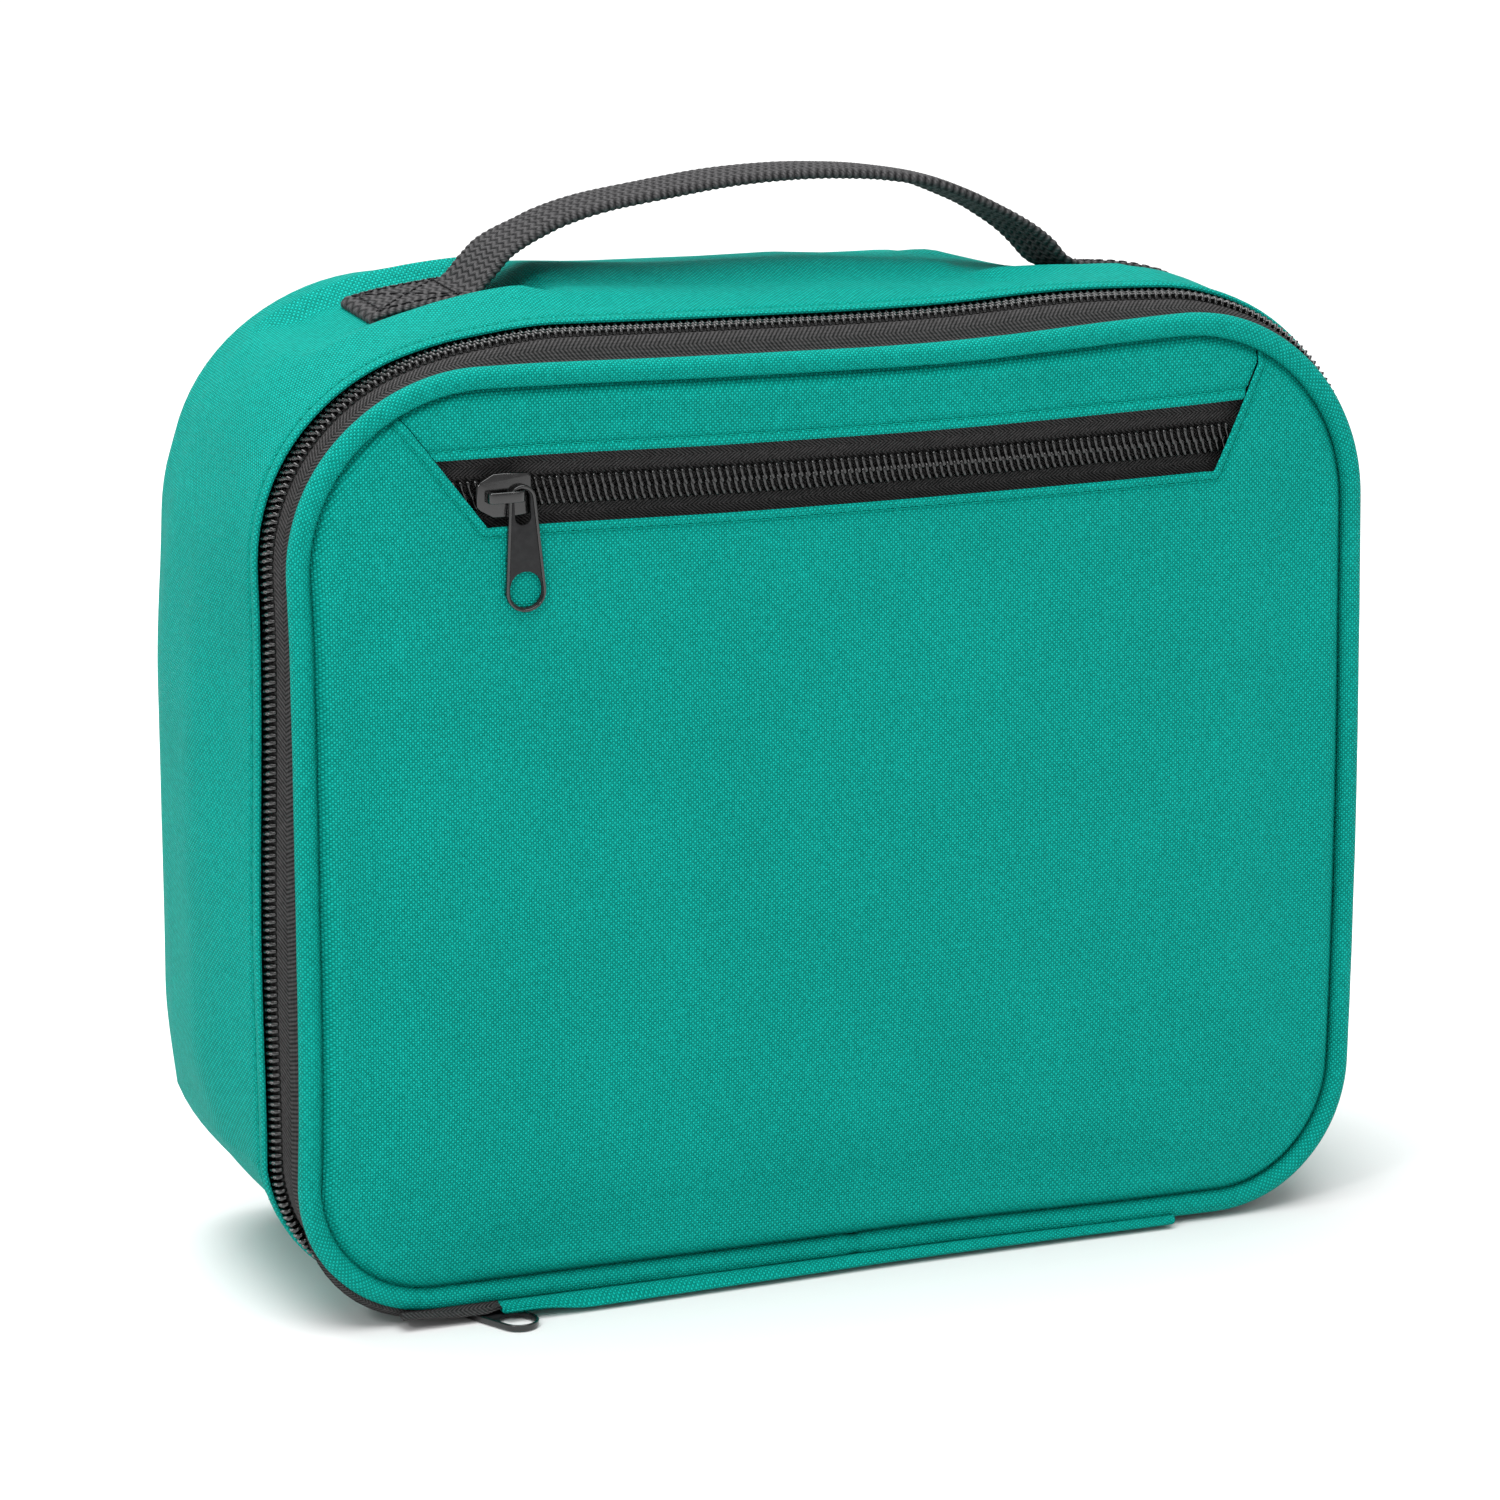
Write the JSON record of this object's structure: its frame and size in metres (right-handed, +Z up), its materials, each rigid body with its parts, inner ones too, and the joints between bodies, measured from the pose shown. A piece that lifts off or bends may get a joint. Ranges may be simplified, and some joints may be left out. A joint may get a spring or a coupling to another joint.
{
  "type": "soft insulated lunch box",
  "caption": "Zip-around padded lunch bag with a hinged front lid, a front zip pocket and a webbing carry handle.",
  "frame": {"origin": "on the table under the middle of the flat base", "axes": "+Z up, the lid faces -Y, the parked main slider is on the -X side"},
  "size_m": [0.25, 0.097, 0.2368],
  "materials": {
    "teal_fabric": "plain-weave coated polyester",
    "foam": "soft foam",
    "foil_liner": "satin foil film",
    "pocket_lining": "plain-weave polyester",
    "binding_tape": "ribbed tape",
    "zip_tape": "herringbone woven tape",
    "zip_coil": "moulded nylon coil",
    "black_metal": "black lacquer",
    "webbing": "ribbed webbing",
    "thread": "sewing thread"
  },
  "bodies": {
    "bag": {"gusset_fabric": "teal_fabric", "base_panel": "teal_fabric", "back_panel": "teal_fabric", "gusset_foam": "foam", "base_foam": "foam", "back_foam": "foam", "shell_liner": "foil_liner", "mouth_binding": "binding_tape", "hinge_strip": "teal_fabric", "rear_zip_tape": "zip_tape", "rear_zip_coil": "zip_coil", "zip_stop_left": "zip_coil", "zip_stop_right": "zip_coil", "handle_end_left": "webbing", "handle_end_right": "webbing", "handle_stitching_left": "thread", "handle_stitching_right": "thread", "handle_leg_left": "webbing", "handle_leg_right": "webbing"},
    "lid": {"edge_piping": "teal_fabric", "piping_cord": "foam", "lid_seam_allowance": "teal_fabric", "pocket_front_panel": "teal_fabric", "upper_front_panel": "teal_fabric", "pocket_back_panel": "pocket_lining", "lid_foam": "foam", "lid_liner": "foil_liner", "lid_binding": "binding_tape", "lid_zip_tape": "zip_tape", "lid_zip_coil": "zip_coil", "pocket_tape_lower": "zip_tape", "pocket_tape_upper": "zip_tape", "pocket_coil_lower": "zip_coil", "pocket_coil_upper": "zip_coil"},
    "handle": {"handle_arch": "webbing"},
    "main_slider": {"main_slider": "black_metal"},
    "main_puller": {"main_puller": "black_metal"},
    "pocket_slider": {"pocket_slider": "black_metal"},
    "pocket_puller": {"pocket_puller": "black_metal"}
  },
  "joints": [
    {"name": "lid_hinge", "type": "hinge", "parent": "bag", "child": "lid", "pos_m": [0, -0.04, 0.006], "axis": [1, 0, 0], "range_deg": [0, 89]},
    {"name": "main_slider_travel", "type": "hinge", "parent": "bag", "child": "main_slider", "pos_m": [-0.09, -0.0322, 0.0392], "axis": [0, 1, 0], "range_deg": [0, 90]},
    {"name": "main_puller_swivel", "type": "hinge", "parent": "main_slider", "child": "main_puller", "pos_m": [-0.0865, -0.0322, 0.0024], "axis": [0, 0, 1], "range_deg": [-50, 0]},
    {"name": "pocket_slider_travel", "type": "slide", "parent": "lid", "child": "pocket_slider", "axis": [1, 0, 0], "range_m": [0, 0.15]},
    {"name": "pocket_puller_swivel", "type": "hinge", "parent": "pocket_slider", "child": "pocket_puller", "pos_m": [-0.0717, -0.0446, 0.179], "axis": [0, -1, 0], "range_deg": [-15, 175]},
    {"name": "handle_lean", "type": "hinge", "parent": "bag", "child": "handle", "pos_m": [0, 0.01, 0.226], "axis": [1, 0, 0], "range_deg": [-50, 50], "stiffness_Nm_per_rad": 0.005}
  ]
}
